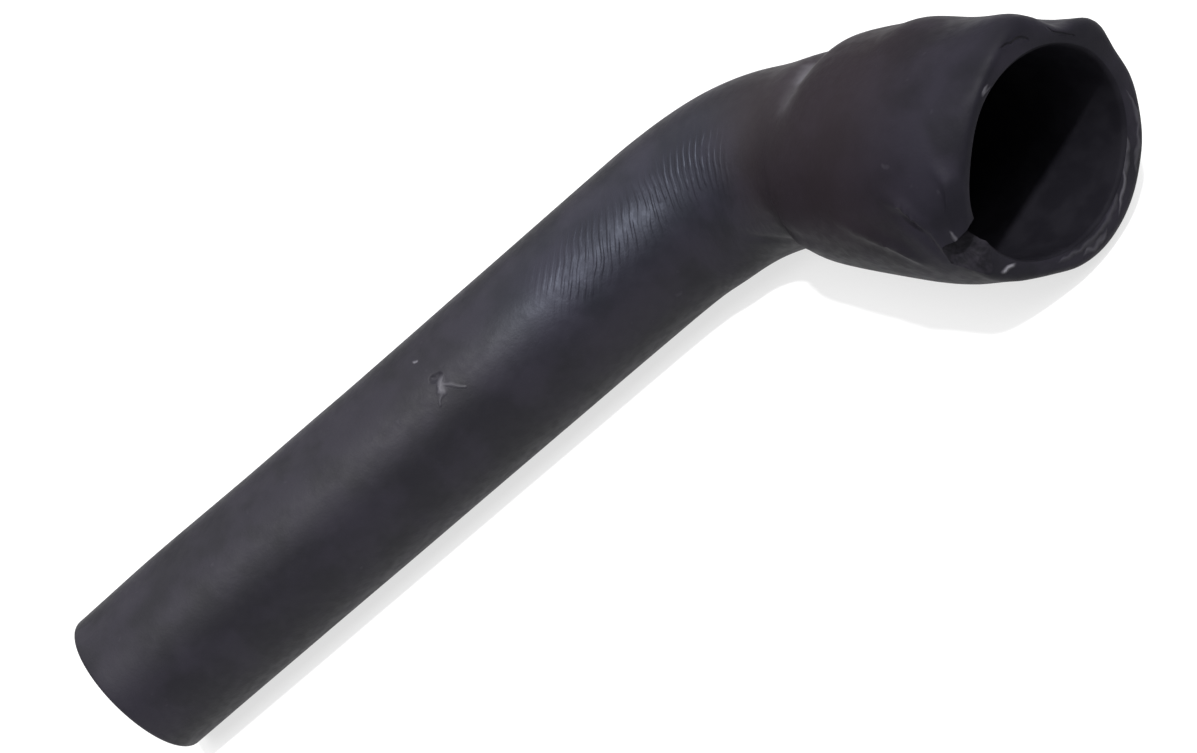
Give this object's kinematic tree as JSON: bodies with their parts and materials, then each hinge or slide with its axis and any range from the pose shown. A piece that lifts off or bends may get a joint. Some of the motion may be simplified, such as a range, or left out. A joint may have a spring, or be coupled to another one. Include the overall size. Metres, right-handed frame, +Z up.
{
  "type": "moulded power steering hose",
  "caption": "Black moulded rubber elbow hose with a long straight leg, a bend and a wider bell end, for low-pressure steering fluid.",
  "frame": {"origin": "middle of the bounding box at its base, on the surface that the hose lies on", "axes": "+X along the straight leg from the small end towards the bend, +Z up, the bell turned towards -Y"},
  "size_m": [0.1894, 0.0746, 0.0404],
  "materials": {
    "rubber": "black moulded synthetic rubber, satin, with faint cloth-wrap ridges and light wear"
  },
  "bodies": {
    "root": {"hose": "rubber"}
  },
  "joints": []
}
